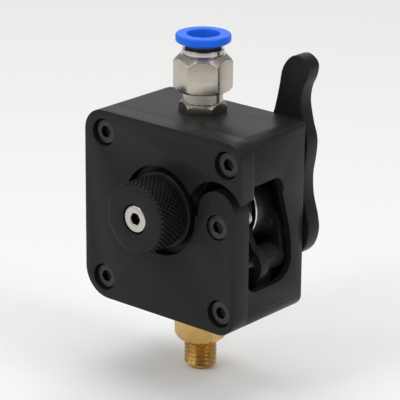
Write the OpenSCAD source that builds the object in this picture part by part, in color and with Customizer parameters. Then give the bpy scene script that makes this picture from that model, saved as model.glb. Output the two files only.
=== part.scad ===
// Compact Bowden extruder: a black anodised housing with a hand knob, a hobbed drive gear,
// a sprung idler arm with a release lever, a push-fit tube inlet and a threaded brass outlet.
// Design frame: X across, Y from the front face (0) to the back, Z up from the housing's bottom.
// Every node is moved at the end, so that the origin is the motor mount's centre on the back face.

/* [Housing] */
// Width of the housing below the side ledge
body_w = 44.4; // [44:0.1:45]
// Height of the housing
body_h = 45.1; // [44.8:0.1:46]
// Depth of the housing, cover plate included
body_d = 24.6; // [24.6:0.1:26]
// Thickness of the front cover plate
cover_t = 4.9; // [4.9:0.1:5.2]
// How far the upper right flank stands proud at the front
flank_proud = 1.5; // [0.5:0.1:2]
// Height of the ledge under the upper right flank
ledge_z = 30.8; // [30:0.1:31.5]
// Corner radius of the housing, lower left
low_left_r = 6.8; // [6:0.1:8]
// Corner radius of the housing, upper left
top_left_r = 5.3; // [5:0.1:6.5]
// Corner radius of the housing, upper and lower right
right_r = 4.6; // [4:0.1:5]

/* [Filament path] */
// Diameter of the filament
filament_d = 2.85; // [2.8:0.01:3]
// Distance of the filament path behind the front face
path_y = 15.4; // [15:0.1:15.8]
// Bore of the guides that lead the filament
guide_bore_r = 1.6; // [1.5:0.05:1.8]
// Radius of the bore through the outlet fitting
outlet_bore_r = 1.8; // [1.75:0.05:2]
// Outer radius of the guides
guide_r = 2.4; // [2.2:0.05:2.5]

/* [Drive] */
// Height of the drive axis, the knob axis and the idler wheel
drive_z = 25.3; // [25:0.1:25.6]
// Distance of the drive axis to the left of the filament path
drive_x = 6.4; // [6.3:0.05:6.5]
// Outer radius of the hobbed gear
hob_r = 6; // [5.8:0.1:6.1]
// Gear module of the knob train
gear_module = 0.5; // [0.5:0.05:0.5]
// Teeth on the knob's pinion
pinion_teeth = 12; // [12:1:12]
// Teeth on the drive shaft's gear
gear_teeth = 16; // [16:1:16]
// Bore of the motor socket in the drive shaft
socket_r = 2.5; // [2.4:0.05:2.6]

/* [Knob] */
// Radius of the knurled grip
knob_r = 8.3; // [7:0.1:8.5]
// How far the grip stands out of the cover
knob_out = 8.3; // [7:0.1:9]
// Radius of the knob's rear flange
knob_flange_r = 8.8; // [8.5:0.1:9.5]
// Radius of the recess round the knob
recess_r = 10.4; // [10.2:0.1:11]

/* [Idler] */
// Radius of the idler wheel
wheel_r = 8.5; // [8.5:0.1:8.6]
// Width of the idler wheel
wheel_w = 6; // [5.8:0.1:6]
// Arm pivot, X
pivot_x = 17.4; // [17.3:0.05:17.5]
// Arm pivot, Z
pivot_z = 13.6; // [13.5:0.05:13.7]
// Radius of the arm's hub
hub_r = 4.5; // [4.2:0.1:4.6]

/* [Release lever] */
// Lever axis, X
lever_x = 16.6; // [16.5:0.05:16.7]
// Lever axis, Z
lever_z = 19.2; // [19.1:0.05:19.3]
// Thickness of the lever
lever_t = 4; // [3.5:0.1:4.5]
// Eccentricity of the cam
cam_e = 0.82; // [0.8:0.01:0.84]
// Radius of the cam
cam_r = 2.2; // [2.1:0.05:2.2]

/* [Fittings] */
// Radius of the tube that the push fitting takes, with its clearance
tube_bore_r = 3.1; // [3.05:0.05:3.15]
// Width across flats of the push fitting's large hexagon
big_hex_af = 11.7; // [11.5:0.1:12.5]
// Width across flats of the push fitting's lower hexagon
base_hex_af = 9.6; // [9.4:0.1:10]
// Width across flats of the outlet's hexagon
outlet_hex_af = 10.6; // [10.4:0.1:11.5]
// Radius of the outlet's thread
outlet_thread_r = 3.8; // [3.7:0.05:3.95]

/* [Hidden] */
$fn = 72;
cut = 0.5;                               // how far a cutting shape runs past a face
right_x = 22.5;                          // right side of the housing at the filament's height
left_x = right_x - body_w;
wall_y = 21;                             // inner face of the back wall
cavity = [-19.6, 6.2, 20.9, 38.6];       // inner faces of the cavity: left, bottom, right, top
boss_r = 2.1;                            // bosses round the cover screws
screw_z_top = 39.9;
screw_z_low = 5;
cover_screws_at = [[-16.3, screw_z_top], [19.7, screw_z_top], [-16.3, screw_z_low], [18.1, screw_z_low]];
m3_r = 1.46;                             // M3 shank
m3_hole_r = 1.5;
m3_head_r = 2.75;
m3_head_h = 3;
m3_key_r = 2.5 / sqrt(3);                // corner radius of a 2.5 mm hexagon key's socket
head_seat_y = 3.8;                       // where the cover screws' heads sit
stop_at = [17.3, 25.1];                  // stop screw and stop post
stop_seat_y = 3.1;
post_r = 2;
post_end_y = 9.8;                        // the post ends beside the head of the idler's axle
arch_at = [17, 27.5];                    // arched slot over the tongue of the cover
arch_r = 8.05;
tongue_at = [17.3, 28.1];
tongue_r = 5.25;

knob_x = gear_module * (pinion_teeth + gear_teeth) / 2 - drive_x;
recess_y = 2.5;                          // floor of the recess round the knob
flange_y = 1.8;                          // rear face of the knob's flange
knob_groove_y = 0.6;                     // groove between the knurl and the flange
knob_rim = 0.45;                         // chamfer of the rim, and depth of the groove
knob_shaft_r = 2;
gear_y = 7.3;
gear_w = 3;
knob_bush_r = 2.8;
bush_out_y = 7;

front_bearing = [2, 3.5, cover_t - 2, cover_t];      // bore radius, outer radius, front, back
rear_bearing = [4, 6, 18.7, 22.2];
idler_bearing = [3, wheel_r, path_y - wheel_w / 2, path_y + wheel_w / 2];
running = 0.02;                                      // clearance of balls and of running fits

set_screw_y = 12.4;                      // set screw that locks the hobbed gear to its shaft
set_screw_r = 1.22;

pilot_r = 11;
pilot_y = 22.6;
motor_pcd = 28;
motor_hole_r = 1.65;

wheel_x = filament_d / 2 + wheel_r - 0.025;
arm_front = [10.2, 12];                  // front cheek of the arm, from and to
arm_rear = [18.8, 20.7];                 // rear cheek
hub_end_y = 12.7;                        // the wide hub ends in front of the spring
lever_swing = 60;                        // travel of the lever in degrees
cam_at = [lever_x - cam_e * sin(lever_swing / 2), lever_z + cam_e * cos(lever_swing / 2)];
lever_y = body_d + 0.4;
lever_bush_r = 3.5;
tail_z = cavity[1] + 1.4;                // lower end of the arm's tail, clear of the screw boss
spring_z = 9.3;
spring_x = [7.4, 14.3];                  // its length with the arm fully open
tail_x = 15.2;                           // face of the arm's tail with the arm closed
seat_x = 4.6;                            // left side of the spring's seat in the housing

inlet_end_z = 30.6;
outlet_start_z = 20;
port_r = 4;                              // thread of both fittings in the housing
fit_seat_z = 39.4;                       // lower end of the push fitting's thread
base_hex = [body_h, 47.5];
neck_top_z = 50;
spigot_top_z = 53.5;                     // upper end of the spigot inside the large hexagon
big_hex_top_z = 58.4;
sleeve_top_z = 59.6;
collet_top_z = 62.9;
rim_z = 61.3;
rim_r = 6.27;
outlet_hex = [-9.9, -1];
outlet_end_z = -17.1;

// ---- shared shapes ----

// Moves a node from the design frame to the mount's frame.
module placed() translate([drive_x, -body_d, -drive_z]) children();

// A 2D outline in X and Z, made solid from y0 to y1.
module slab(y0, y1) translate([0, y1, 0]) rotate([90, 0, 0])
    linear_extrude(height = y1 - y0) children();

// A round bar along Y.
module rod(x, z, y0, y1, r) translate([x, y0, z]) rotate([-90, 0, 0]) cylinder(h = y1 - y0, r = r);

// A tube along Y.
module tube(x, z, y0, y1, r_in, r_out) difference() {
    rod(x, z, y0, y1, r_out);
    rod(x, z, y0 - cut, y1 + cut, r_in);
}

// A round bar along Z on the filament path.
module post(z0, z1, r) translate([0, path_y, z0]) cylinder(h = z1 - z0, r = r);

// A cone along Z on the filament path.
module cone(z0, z1, r0, r1) translate([0, path_y, z0]) cylinder(h = z1 - z0, r1 = r0, r2 = r1);

// A hexagonal bar along Z on the filament path, turned by some degrees.
module hex_post(z0, z1, af, turn) translate([0, path_y, z0]) rotate([0, 0, turn])
    cylinder(h = z1 - z0, r = af / sqrt(3), $fn = 6);

// What a square corner loses to a round one; sx and sz point out of the outline.
module corner_cut(x, z, sx, sz, r) difference() {
    translate([sx > 0 ? x - r : x - cut, sz > 0 ? z - r : z - cut]) square([r + cut, r + cut]);
    translate([x - sx * r, z - sz * r]) circle(r);
}

module rounded_box(x0, z0, x1, z1, r) {
    translate([x0 + r, z0]) square([x1 - x0 - 2 * r, z1 - z0]);
    translate([x0, z0 + r]) square([x1 - x0, z1 - z0 - 2 * r]);
    for (x = [x0 + r, x1 - r], z = [z0 + r, z1 - r]) translate([x, z]) circle(r);
}

// A straight slot with round ends between two points.
module slot_2d(a, b, r) {
    run = b - a;
    for (p = [a, b]) translate(p) circle(r);
    translate(a) rotate(atan2(run[1], run[0])) translate([0, -r]) square([norm(run), 2 * r]);
}

// Front outline of the housing: the flank above the ledge is wider on the right.
module housing_outline() difference() {
    union() {
        translate([left_x, 0]) square([body_w, body_h]);
        translate([0, ledge_z]) square([right_x + flank_proud, body_h - ledge_z]);
    }
    corner_cut(left_x, 0, -1, -1, low_left_r);
    corner_cut(right_x, 0, 1, -1, right_r);
    corner_cut(left_x, body_h, -1, 1, top_left_r);
    corner_cut(right_x + flank_proud, body_h, 1, 1, right_r - 0.4);
}

// Plan of the housing: the right flank draws in towards the back, and the back corners are eased.
module housing_plan(y0, y1) intersection() {
    translate([0, 0, -cut]) linear_extrude(height = body_h + 2 * cut) difference() {
        polygon([[left_x, 0], [right_x + flank_proud, 0], [right_x, body_d], [left_x, body_d]]);
        corner_cut(left_x, body_d, -1, 1, 2);
        corner_cut(right_x + 0.06, body_d, 1, 1, 0.9);
    }
    slab(y0, y1) translate([left_x - cut, -cut]) square([body_w + 4, body_h + 2 * cut]);
}

module housing_block(y0, y1) intersection() {
    slab(y0, y1) housing_outline();
    housing_plan(y0, y1);
}

// Socket head cap screw along Y, head front at y.
module cap_screw(x, z, y, head_r, head_h, key_r, key_depth, shank_r, shank_len) difference() {
    union() {
        rod(x, z, y, y + head_h, head_r);
        rod(x, z, y + head_h, y + head_h + shank_len, shank_r);
    }
    translate([x, y - cut, z]) rotate([-90, 0, 0]) cylinder(h = key_depth + cut, r = key_r, $fn = 6);
}

// Ring of balls about an axis along Y.
module balls(x, z, y, ring_r, ball_r, count) for (i = [0 : count - 1])
    translate([x + ring_r * cos(i * 360 / count), y, z + ring_r * sin(i * 360 / count)])
        sphere(ball_r, $fn = 24);

// ---- involute gears ----
pressure_angle = 25;
addendum = 0.85;
dedendum = 1.2;
backlash = 0.05;
flank_steps = 6;

function involute(a) = tan(a) * 180 / PI - a;
function pitch_r(teeth) = gear_module * teeth / 2;
function base_r(teeth) = pitch_r(teeth) * cos(pressure_angle);
function flank_angle(r, teeth) = 90 / teeth - backlash * 90 / PI / pitch_r(teeth)
    + involute(pressure_angle) - involute(acos(min(1, base_r(teeth) / r)));
function flank(teeth, side) = let (
        root_r = max(pitch_r(teeth) - dedendum * gear_module, base_r(teeth)),
        tip_r = pitch_r(teeth) + addendum * gear_module)
    [for (i = [0 : flank_steps]) let (
        k = side < 0 ? i : flank_steps - i,
        r = root_r + (tip_r - root_r) * k / flank_steps)
        [r, side * flank_angle(r, teeth)]];

module gear_2d(teeth, phase) {
    root_r = pitch_r(teeth) - dedendum * gear_module;
    tooth = concat(flank(teeth, -1), flank(teeth, 1));
    circle(root_r + 0.01);
    for (i = [0 : teeth - 1]) rotate(phase + i * 360 / teeth) polygon(concat(
        [[root_r * 0.9, -0.12]],
        [for (p = tooth) p[0] * [cos(p[1]), sin(p[1])]],
        [[root_r * 0.9, 0.12]]));
}

// ---- housing ----

module cavity_outline() difference() {
    rounded_box(cavity[0], cavity[1], cavity[2], cavity[3], 2);
    for (p = cover_screws_at) translate(p) circle(boss_r);
}

// Side window, drawn in Y and Z and cut through the right wall only.
module window_cut() translate([right_x - 5, 0, 0]) rotate([90, 0, 90]) linear_extrude(height = 9) {
    polygon([[cover_t - cut, 12.5], [7.6, 9.2], [15.4, 9.2], [17.9, 10.6], [19.4, 13], [20, 16.6],
        [19.6, 20], [17.8, 26], [15.9, 32.4], [12.9, 34.7], [cover_t - cut, 34.7]]);
    translate([7.6, 12.2]) circle(3);
    translate([12.9, 31.7]) circle(3);
    translate([15.2, 14.2]) circle(4.9);
}

module main_body() color("#1d1e20") difference() {
    union() {
        difference() {
            housing_block(cover_t, body_d);
            slab(cover_t - cut, wall_y) cavity_outline();
            window_cut();
        }
        rod(-drive_x, drive_z, rear_bearing[2], wall_y + cut, rear_bearing[1] + 1.6);
        post(cavity[3] - 5, cavity[3] + cut, 3.2);
        post(cavity[1] - cut, cavity[1] + 5, 3.2);
        translate([seat_x, path_y - 3.4, cavity[1] - cut])
            cube([spring_x[0] - seat_x, wall_y - path_y + 3.4 + cut, 6.3]);
    }
    for (p = cover_screws_at) rod(p[0], p[1], cover_t - cut, 17, m3_hole_r);
    rod(-drive_x, drive_z, rear_bearing[2] - cut, rear_bearing[3], rear_bearing[1]);
    rod(-drive_x, drive_z, rear_bearing[3] - cut, pilot_y + cut, rear_bearing[1] - 1);
    rod(-drive_x, drive_z, pilot_y, body_d + cut, pilot_r);
    for (a = [45 : 90 : 315]) translate([motor_pcd / 2 * cos(a), 0, motor_pcd / 2 * sin(a)])
        rod(-drive_x, drive_z, wall_y - cut, body_d + cut, motor_hole_r);
    rod(pivot_x, pivot_z, wall_y - cut, 23.6, m3_hole_r);
    rod(lever_x, lever_z, wall_y - cut, body_d + cut, lever_bush_r);
    post(fit_seat_z, body_h + cut, port_r + 0.05);
    post(cavity[3] - 5 - cut, fit_seat_z + cut, guide_r);
    post(-cut, cavity[1] - 0.8, port_r + 0.05);
    post(cavity[1] - 0.8 - cut, cavity[1] + 5 + cut, guide_r);
}

// Arched slot between the upper part of the cover and its tongue.
module arch_slot() difference() {
    translate(arch_at) circle(arch_r);
    translate(tongue_at) circle(tongue_r);
    translate([tongue_at[0] - tongue_r, 0]) square([30, tongue_at[1]]);
    square([tongue_at[0], tongue_at[1] - 1.8]);
}

module cover_plate() color("#1d1e20") difference() {
    housing_block(0, cover_t);
    slab(-cut, cover_t + cut) arch_slot();
    rod(knob_x, drive_z - 0.1, -cut, recess_y, recess_r);
    rod(knob_x, drive_z, 0, cover_t + cut, knob_bush_r);
    rod(-drive_x, drive_z, front_bearing[2], cover_t + cut, front_bearing[1]);
    for (p = cover_screws_at) {
        rod(p[0], p[1], -cut, head_seat_y, 3.2);
        rod(p[0], p[1], 0, cover_t + cut, m3_hole_r + 0.2);
    }
    rod(stop_at[0], stop_at[1], -cut, stop_seat_y, 2.95);
    rod(stop_at[0], stop_at[1], 0, cover_t + cut, m3_hole_r);
    rod(pivot_x, pivot_z, 3, cover_t + cut, m3_hole_r);
}

module cover_screws() color("#2b2c2e") for (p = cover_screws_at)
    cap_screw(p[0], p[1], head_seat_y - m3_head_h, m3_head_r, m3_head_h, m3_key_r, 1.6, m3_r, 12);

module stop_screw() color("#2b2c2e")
    cap_screw(stop_at[0], stop_at[1], stop_seat_y - 2.8, m3_head_r, 2.8, m3_key_r, 1.5, m3_r, 7);

module stop_post() color("#b9bcc0") difference() {
    rod(stop_at[0], stop_at[1], cover_t, post_end_y, post_r);
    rod(stop_at[0], stop_at[1], cover_t - cut, cover_t + 6, m3_hole_r);
}

module arm_pivot_pin() color("#c9ccd0") rod(pivot_x, pivot_z, 3.1, 23.5, m3_r);

module knob_bush() color("#a9783f")
    tube(knob_x, drive_z, recess_y, bush_out_y, knob_shaft_r + running, knob_bush_r - 0.01);

module lever_bush() color("#a9783f") difference() {
    union() {
        rod(lever_x, lever_z, wall_y, body_d, lever_bush_r - 0.01);
        rod(lever_x, lever_z, body_d, lever_y - 0.05, 4.6);
    }
    rod(lever_x, lever_z, wall_y - cut, lever_y + cut, 2.5 + running);
}

// Outer ring of a ball bearing with its two shields; inner ring; gap between them.
function ball_gap(b) = [b[0] + (b[1] - b[0]) * 0.32, b[1] - (b[1] - b[0]) * 0.3];
function ball_r(b) = (ball_gap(b)[1] - ball_gap(b)[0]) / 2 - running;
function ball_ring_r(b) = (ball_gap(b)[1] + ball_gap(b)[0]) / 2;

module shielded_outer(x, b) {
    tube(x, drive_z, b[2], b[3], ball_gap(b)[1], b[1] - 0.01);
    for (y = [b[2] + 0.08, b[3] - 0.28])
        tube(x, drive_z, y, y + 0.2, ball_gap(b)[0] + 0.06, ball_gap(b)[1] + 0.02);
}

module front_bearing_outer() color("#b9bcc0") shielded_outer(-drive_x, front_bearing);
module rear_bearing_outer() color("#b9bcc0") shielded_outer(-drive_x, rear_bearing);
module inner_ring(x, b, r_in) tube(x, drive_z, b[2], b[3], r_in, ball_gap(b)[0]);
module ball_ring(x, b, count) balls(x, drive_z, (b[2] + b[3]) / 2, ball_ring_r(b), ball_r(b), count);
module front_bearing_inner() color("#c9ccd0") inner_ring(-drive_x, front_bearing, front_bearing[0]);
module rear_bearing_inner() color("#c9ccd0") inner_ring(-drive_x, rear_bearing, rear_bearing[0]);
module front_bearing_balls() color("#dfe1e4") ball_ring(-drive_x, front_bearing, 12);
module rear_bearing_balls() color("#dfe1e4") ball_ring(-drive_x, rear_bearing, 16);

// ---- filament guides and fittings ----

module inlet_guide() color("#c8c2b0") difference() {
    post(inlet_end_z, fit_seat_z, guide_r - 0.01);
    post(inlet_end_z - cut, fit_seat_z + cut, guide_bore_r);
}

module outlet_guide() color("#c8c2b0") difference() {
    post(cavity[1] - 0.8, outlet_start_z, guide_r - 0.01);
    post(cavity[1] - 0.8 - cut, outlet_start_z + cut, guide_bore_r);
    translate([0, path_y, outlet_start_z - 1]) cylinder(h = 1.01, r1 = guide_bore_r, r2 = guide_r - 0.3);
}

module fitting_base() color("#b8b2a6") difference() {
    union() {
        post(fit_seat_z, body_h, port_r);
        intersection() {
            hex_post(base_hex[0], base_hex[1], base_hex_af, 32);
            cone(base_hex[0], base_hex[1], 4.6 + base_hex[1] - base_hex[0], 4.6);
        }
        post(base_hex[1] - 0.5, neck_top_z, 4.55);
        post(neck_top_z, spigot_top_z, port_r);
    }
    post(fit_seat_z - cut, 54, guide_bore_r);
    post(49, 54, tube_bore_r);
}

module fitting_hex_body() color("#c4beb2") difference() {
    intersection() {
        hex_post(neck_top_z, big_hex_top_z, big_hex_af, 38.8);
        union() {
            cone(neck_top_z, neck_top_z + 0.9, 6.1, 7);
            post(neck_top_z + 0.9, big_hex_top_z - 2.1, 7);
            cone(big_hex_top_z - 2.1, big_hex_top_z, 7, 5);
        }
    }
    post(neck_top_z - cut, spigot_top_z, port_r + 0.01);
    post(spigot_top_z - cut, big_hex_top_z + cut, 4.4);
}

module fitting_sleeve() color("#cbc5b9") difference() {
    union() {
        post(56.4, big_hex_top_z, 4.38);
        post(big_hex_top_z, sleeve_top_z, 4.75);
    }
    post(56.4 - cut, sleeve_top_z + cut, 4.1);
}

module tube_seal() color("#161616") translate([0, path_y, 54.3]) rotate_extrude()
    translate([3.72, 0]) circle(0.62, $fn = 24);

module grip_ring() color("#d0d3d6") difference() {
    post(55.3, 55.6, 4.35);
    post(55, 56, tube_bore_r + 0.05);
    for (a = [0 : 45 : 315]) translate([0, path_y, 55]) rotate([0, 0, a])
        translate([tube_bore_r - 0.2, -0.2, 0]) cube([0.8, 0.4, 1]);
}

module release_collet() color("#1f7fe6") translate([0, path_y, 0]) rotate_extrude() polygon([
    [tube_bore_r + 0.1, 57.1], [3.95, 57.1], [3.95, 60.4], [4.5, 60.5], [5.9, 61.05], [rim_r, rim_z],
    [rim_r, collet_top_z - 0.25], [rim_r - 0.25, collet_top_z], [3.75, collet_top_z],
    [tube_bore_r + 0.1, collet_top_z - 2.4]]);

module outlet_fitting() color("#b98a3a") difference() {
    union() {
        post(-1, cavity[1] - 0.9, port_r);
        intersection() {
            hex_post(outlet_hex[0], outlet_hex[1], outlet_hex_af, 36.7);
            cone(outlet_hex[0], outlet_hex[1], 5.4, 14.3);
            cone(outlet_hex[0], outlet_hex[1], 14.5, 5.6);
        }
        post(outlet_end_z + 0.9, outlet_hex[0], outlet_thread_r);
        cone(outlet_end_z, outlet_end_z + 0.9, outlet_thread_r - 0.9, outlet_thread_r);
    }
    post(outlet_end_z - cut, outlet_hex[1], outlet_bore_r);
    post(outlet_hex[1] - cut, cavity[1] + cut, guide_bore_r);
}

module outlet_washer() color("#9a9ca0") difference() {
    post(-1, 0, 5.3);
    post(-2, 1, port_r + 0.02);
}

// ---- knob ----

module knob() color("#1b1c1e") difference() {
    union() {
        rod(knob_x, drive_z, -knob_out + knob_rim, -knob_groove_y, knob_r);
        translate([knob_x, -knob_out, drive_z]) rotate([-90, 0, 0])
            cylinder(h = knob_rim, r1 = knob_r - knob_rim, r2 = knob_r);
        rod(knob_x, drive_z, -knob_groove_y - 0.1, 0.1, knob_r - knob_rim);
        rod(knob_x, drive_z, 0, flange_y, knob_flange_r);
    }
    rod(knob_x, drive_z, -knob_out - cut, -knob_out + 2.2, 3.4);
    rod(knob_x, drive_z, -knob_out, flange_y + cut, knob_shaft_r);
}

module knob_screw() color("#c9ccd0")
    cap_screw(knob_x, drive_z, -knob_out + 0.15, 3.1, 2.05, m3_key_r, 1.5, m3_r, 5);

module knob_shaft() color("#b9bcc0") difference() {
    union() {
        rod(knob_x, drive_z, -knob_out + 2.4, gear_y - 0.2, knob_shaft_r);
        rod(knob_x, drive_z, gear_y - 0.2, gear_y + gear_w + 0.3, 1.3);
    }
    rod(knob_x, drive_z, -knob_out, -knob_out + 8, m3_hole_r);
}

module knob_pinion() color("#a9783f") difference() {
    translate([knob_x, 0, drive_z]) slab(gear_y, gear_y + gear_w) gear_2d(pinion_teeth, 180);
    rod(knob_x, drive_z, gear_y - cut, gear_y + gear_w + cut, 1.3);
}

// ---- drive shaft ----

module drive_shaft() color("#b9bcc0") difference() {
    union() {
        rod(-drive_x, drive_z, front_bearing[2] + 0.05, front_bearing[3] + 0.4, front_bearing[0]);
        rod(-drive_x, drive_z, front_bearing[3] + 0.4, 10.8, 2.5);
        rod(-drive_x, drive_z, 10.8, pilot_y, rear_bearing[0]);
    }
    rod(-drive_x, drive_z, 11.6, pilot_y + cut, socket_r);
    translate([-drive_x, set_screw_y, drive_z]) cylinder(h = 6, r = set_screw_r + 0.03);
}

module drive_gear() color("#9a9ca0") difference() {
    translate([-drive_x, 0, drive_z]) slab(gear_y, gear_y + gear_w) gear_2d(gear_teeth, 180 / gear_teeth);
    rod(-drive_x, drive_z, gear_y - cut, gear_y + gear_w + cut, 2.5);
}

// The hob: teeth round the filament groove, with a plain hub that takes the set screw.
module hob_gear() color("#a7aaae") difference() {
    union() {
        rod(-drive_x, drive_z, 10.9, path_y - 1.6, 5.4);
        rod(-drive_x, drive_z, path_y - 1.6, path_y + 1.6, hob_r);
        rod(-drive_x, drive_z, path_y + 1.6, 18.4, 5.2);
    }
    rod(-drive_x, drive_z, 10, 19, rear_bearing[0]);
    translate([-drive_x, path_y, drive_z]) rotate([-90, 0, 0]) rotate_extrude()
        translate([drive_x + 0.1, 0]) circle(filament_d / 2 + 0.03, $fn = 48);
    translate([-drive_x, set_screw_y, drive_z]) cylinder(h = 6, r = set_screw_r + 0.03);
    for (i = [0 : 29]) translate([-drive_x, path_y - 1.7, drive_z]) rotate([0, 12 * i + 6, 0])
        translate([hob_r - 1.12, 0, -0.25]) cube([2, 3.4, 0.5]);
}

module hob_set_screw() color("#2b2c2e") translate([-drive_x, set_screw_y, drive_z]) difference() {
    translate([0, 0, socket_r]) cylinder(h = 2.6, r = set_screw_r);
    translate([0, 0, socket_r + 1.5]) cylinder(h = 2, r = 1.3 / sqrt(3), $fn = 6);
}

// ---- idler arm ----

module front_cheek() {
    translate([pivot_x, pivot_z]) circle(hub_r);
    translate([wheel_x, drive_z]) circle(4.2);
    polygon([[pivot_x + 2, pivot_z + 4], [wheel_x + 3.6, drive_z + 2.1], [wheel_x - 3.6, drive_z - 2.1],
        [pivot_x - 3.9, pivot_z - 2.2]]);
}

module rear_cheek() difference() {
    union() {
        translate([pivot_x, pivot_z]) circle(3.2);
        translate([wheel_x, drive_z]) circle(4.2);
        polygon([[pivot_x + 3.1, pivot_z], [lever_x + 3.05, lever_z + 1.2], [lever_x + 2.4, lever_z + 4.6],
            [wheel_x + 2, drive_z + 3.7], [wheel_x - 3.6, drive_z - 2.1], [pivot_x - 2.7, pivot_z - 1.7]]);
    }
    translate([cam_at[0], cam_at[1] - 0.35]) slot_2d([0, 0], [0, 0.75], cam_r + 0.08);
}

module idler_arm() color("#26272a") difference() {
    union() {
        slab(arm_front[0], arm_front[1]) front_cheek();
        slab(arm_rear[0], arm_rear[1]) rear_cheek();
        rod(pivot_x, pivot_z, arm_front[0], hub_end_y, hub_r);
        rod(pivot_x, pivot_z, hub_end_y - cut, arm_rear[1], 3.2);
        translate([tail_x, path_y - 3.2, tail_z]) cube([3.4, 5.8, pivot_z - tail_z]);
    }
    rod(pivot_x, pivot_z, arm_front[0] - cut, arm_rear[1] + cut, 2.3);
    rod(wheel_x, drive_z, arm_front[0] - cut, arm_front[1] + cut, 3.01);
    rod(wheel_x, drive_z, arm_rear[0] - cut, arm_rear[1] + cut, 2.01);
}

module arm_bush() color("#a9783f") tube(pivot_x, pivot_z, arm_front[0], arm_rear[1], m3_r + 0.04, 2.29);

module idler_axle() color("#c9ccd0") difference() {
    union() {
        rod(wheel_x, drive_z, arm_front[0] - 1.2, arm_front[0], 3.75);
        rod(wheel_x, drive_z, arm_front[0], arm_rear[0], 3);
        rod(wheel_x, drive_z, arm_rear[0], arm_rear[1], 2);
    }
    translate([wheel_x, arm_front[0] - 1.2 - cut, drive_z]) rotate([-90, 0, 0])
        cylinder(h = 2.2, r = 3 / sqrt(3), $fn = 6);
}

module idler_washers() color("#9a9ca0") for (y = [arm_front[1], idler_bearing[3]])
    tube(wheel_x, drive_z, y, y + 0.4, 3.03, 4.4);

module idler_inner_ring() color("#c9ccd0") inner_ring(wheel_x, idler_bearing, idler_bearing[0] + 0.01);
module idler_outer_ring() color("#d5d8dc")
    tube(wheel_x, drive_z, idler_bearing[2], idler_bearing[3], ball_gap(idler_bearing)[1], wheel_r);
module idler_shields() color("#a7aaae") for (y = [idler_bearing[2] + 0.25, idler_bearing[3] - 0.5])
    tube(wheel_x, drive_z, y, y + 0.25,
        ball_gap(idler_bearing)[0] + 0.08, ball_gap(idler_bearing)[1] - 0.005);
module idler_balls() color("#dfe1e4") ball_ring(wheel_x, idler_bearing, 8);

module idler_cage() color("#a9783f") difference() {
    tube(wheel_x, drive_z, path_y - 0.6, path_y + 0.6,
        ball_ring_r(idler_bearing) - 0.45, ball_ring_r(idler_bearing) + 0.45);
    balls(wheel_x, drive_z, path_y, ball_ring_r(idler_bearing), ball_r(idler_bearing) + 0.03, 8);
}

// Compression spring between the housing and the arm's tail, its coils along X.
coil_r = 2;
wire_r = 0.4;
coil_turns = 5.5;
coil_steps = 14;
wire_sides = 8;

coil_rings = coil_turns * coil_steps;
coil_run = spring_x[1] - spring_x[0] - 2 * wire_r - 0.1;

function coil_point(i) = let (a = 360 * i / coil_steps)
    [spring_x[0] + wire_r + 0.05 + coil_run * i / coil_rings, path_y + coil_r * cos(a),
        spring_z + coil_r * sin(a)];
function wire_ring(i) = let (a = 360 * i / coil_steps)
    [for (k = [0 : wire_sides - 1]) let (b = 360 * k / wire_sides)
        coil_point(i) + wire_r * (cos(b) * [0, cos(a), sin(a)] + sin(b) * [1, 0, 0])];
function wire_wall(i) = let (a = i * wire_sides, b = a + wire_sides)
    [for (k = [0 : wire_sides - 1]) let (m = (k + 1) % wire_sides) [a + k, b + k, b + m, a + m]];

module arm_spring() color("#8f9296") polyhedron(
    points = [for (i = [0 : coil_rings]) each wire_ring(i)],
    faces = concat(
        [[for (k = [0 : wire_sides - 1]) k]],
        [for (i = [0 : coil_rings - 1]) each wire_wall(i)],
        [[for (k = [wire_sides - 1 : -1 : 0]) coil_rings * wire_sides + k]]));

// ---- release lever ----

// Outline of the lever, clockwise from its lower end, joined by a smooth curve.
lever_points = [[16.4, 11.9], [13.4, 13.5], [11.9, 17], [11.7, 21.5], [12.5, 27], [12.7, 32], [11.8, 37.5],
    [11.7, 42], [13, 46.5], [14.1, 51.5], [14.9, 55.6], [17, 58.5], [19.8, 59.3], [22.2, 57.6],
    [22.1, 54.8], [20.8, 51.8], [20.4, 48.4], [21.3, 44], [22.5, 40], [22.3, 36], [21.6, 31.4],
    [21.9, 26.6], [23.2, 22], [23.6, 18.4], [22.4, 14.7], [19.7, 12.3]];

function curve_point(a, b, c, d, t) = 0.5 * (2 * b + (c - a) * t + (2 * a - 5 * b + 4 * c - d) * t * t
    + (3 * b - a - 3 * c + d) * t * t * t);
function closed_curve(p, steps) = let (n = len(p)) [for (i = [0 : n - 1], s = [0 : steps - 1])
    curve_point(p[(i + n - 1) % n], p[i], p[(i + 1) % n], p[(i + 2) % n], s / steps)];

module release_lever() color("#1d1e20") difference() {
    slab(lever_y, lever_y + lever_t) polygon(closed_curve(lever_points, 5));
    rod(lever_x, lever_z, lever_y - cut, lever_y + lever_t + cut, 2.5);
}

module cam_shaft() color("#b9bcc0") difference() {
    union() {
        rod(cam_at[0], cam_at[1], arm_rear[0] + 0.1, wall_y - 0.1, cam_r);
        rod(lever_x, lever_z, wall_y - 0.1, lever_y + lever_t - 0.1, 2.5);
    }
    rod(lever_x, lever_z, lever_y + lever_t - 6, lever_y + lever_t + cut, m3_hole_r);
}

module lever_washer() color("#9a9ca0")
    tube(lever_x, lever_z, lever_y + lever_t, lever_y + lever_t + 0.5, m3_hole_r + 0.1, 3.8);

module lever_screw() color("#2b2c2e") translate([0, 2 * (lever_y + lever_t) + 0.5, 0]) mirror([0, 1, 0])
    cap_screw(lever_x, lever_z, lever_y + lever_t - 2, m3_head_r, 2, m3_key_r, 1.2, m3_r, 5);

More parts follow.
